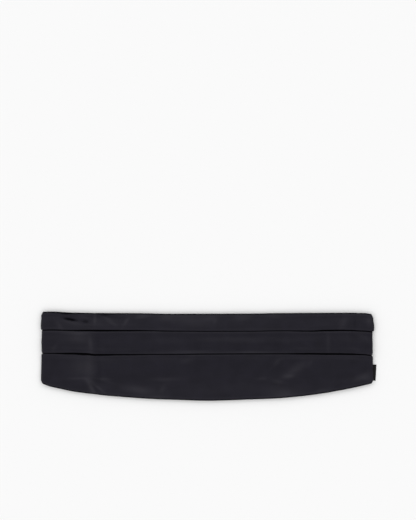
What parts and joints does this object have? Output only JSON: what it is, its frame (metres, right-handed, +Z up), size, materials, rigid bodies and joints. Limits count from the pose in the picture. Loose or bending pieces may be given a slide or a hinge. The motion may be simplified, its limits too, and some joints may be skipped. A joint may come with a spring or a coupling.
{
  "type": "cummerbund",
  "caption": "Pleated satin waist sash laid flat, its ends turned behind and joined by a webbing strap.",
  "frame": {"origin": "on the table under the middle of the space that the flat sash takes up", "axes": "+X along the sash to the wearer's left as it lies front up, +Y towards the top edge, +Z up from the table"},
  "size_m": [0.461, 0.123, 0.0094],
  "materials": {
    "satin": "smooth blue-black satin with a soft sheen",
    "webbing": "black woven elastic webbing",
    "clasp_metal": "plain black enamelled slide"
  },
  "bodies": {
    "root": {"top_pleat": "satin", "middle_pleat": "satin", "lower_panel": "satin", "back_strap": "webbing", "clasp": "clasp_metal"}
  },
  "joints": []
}
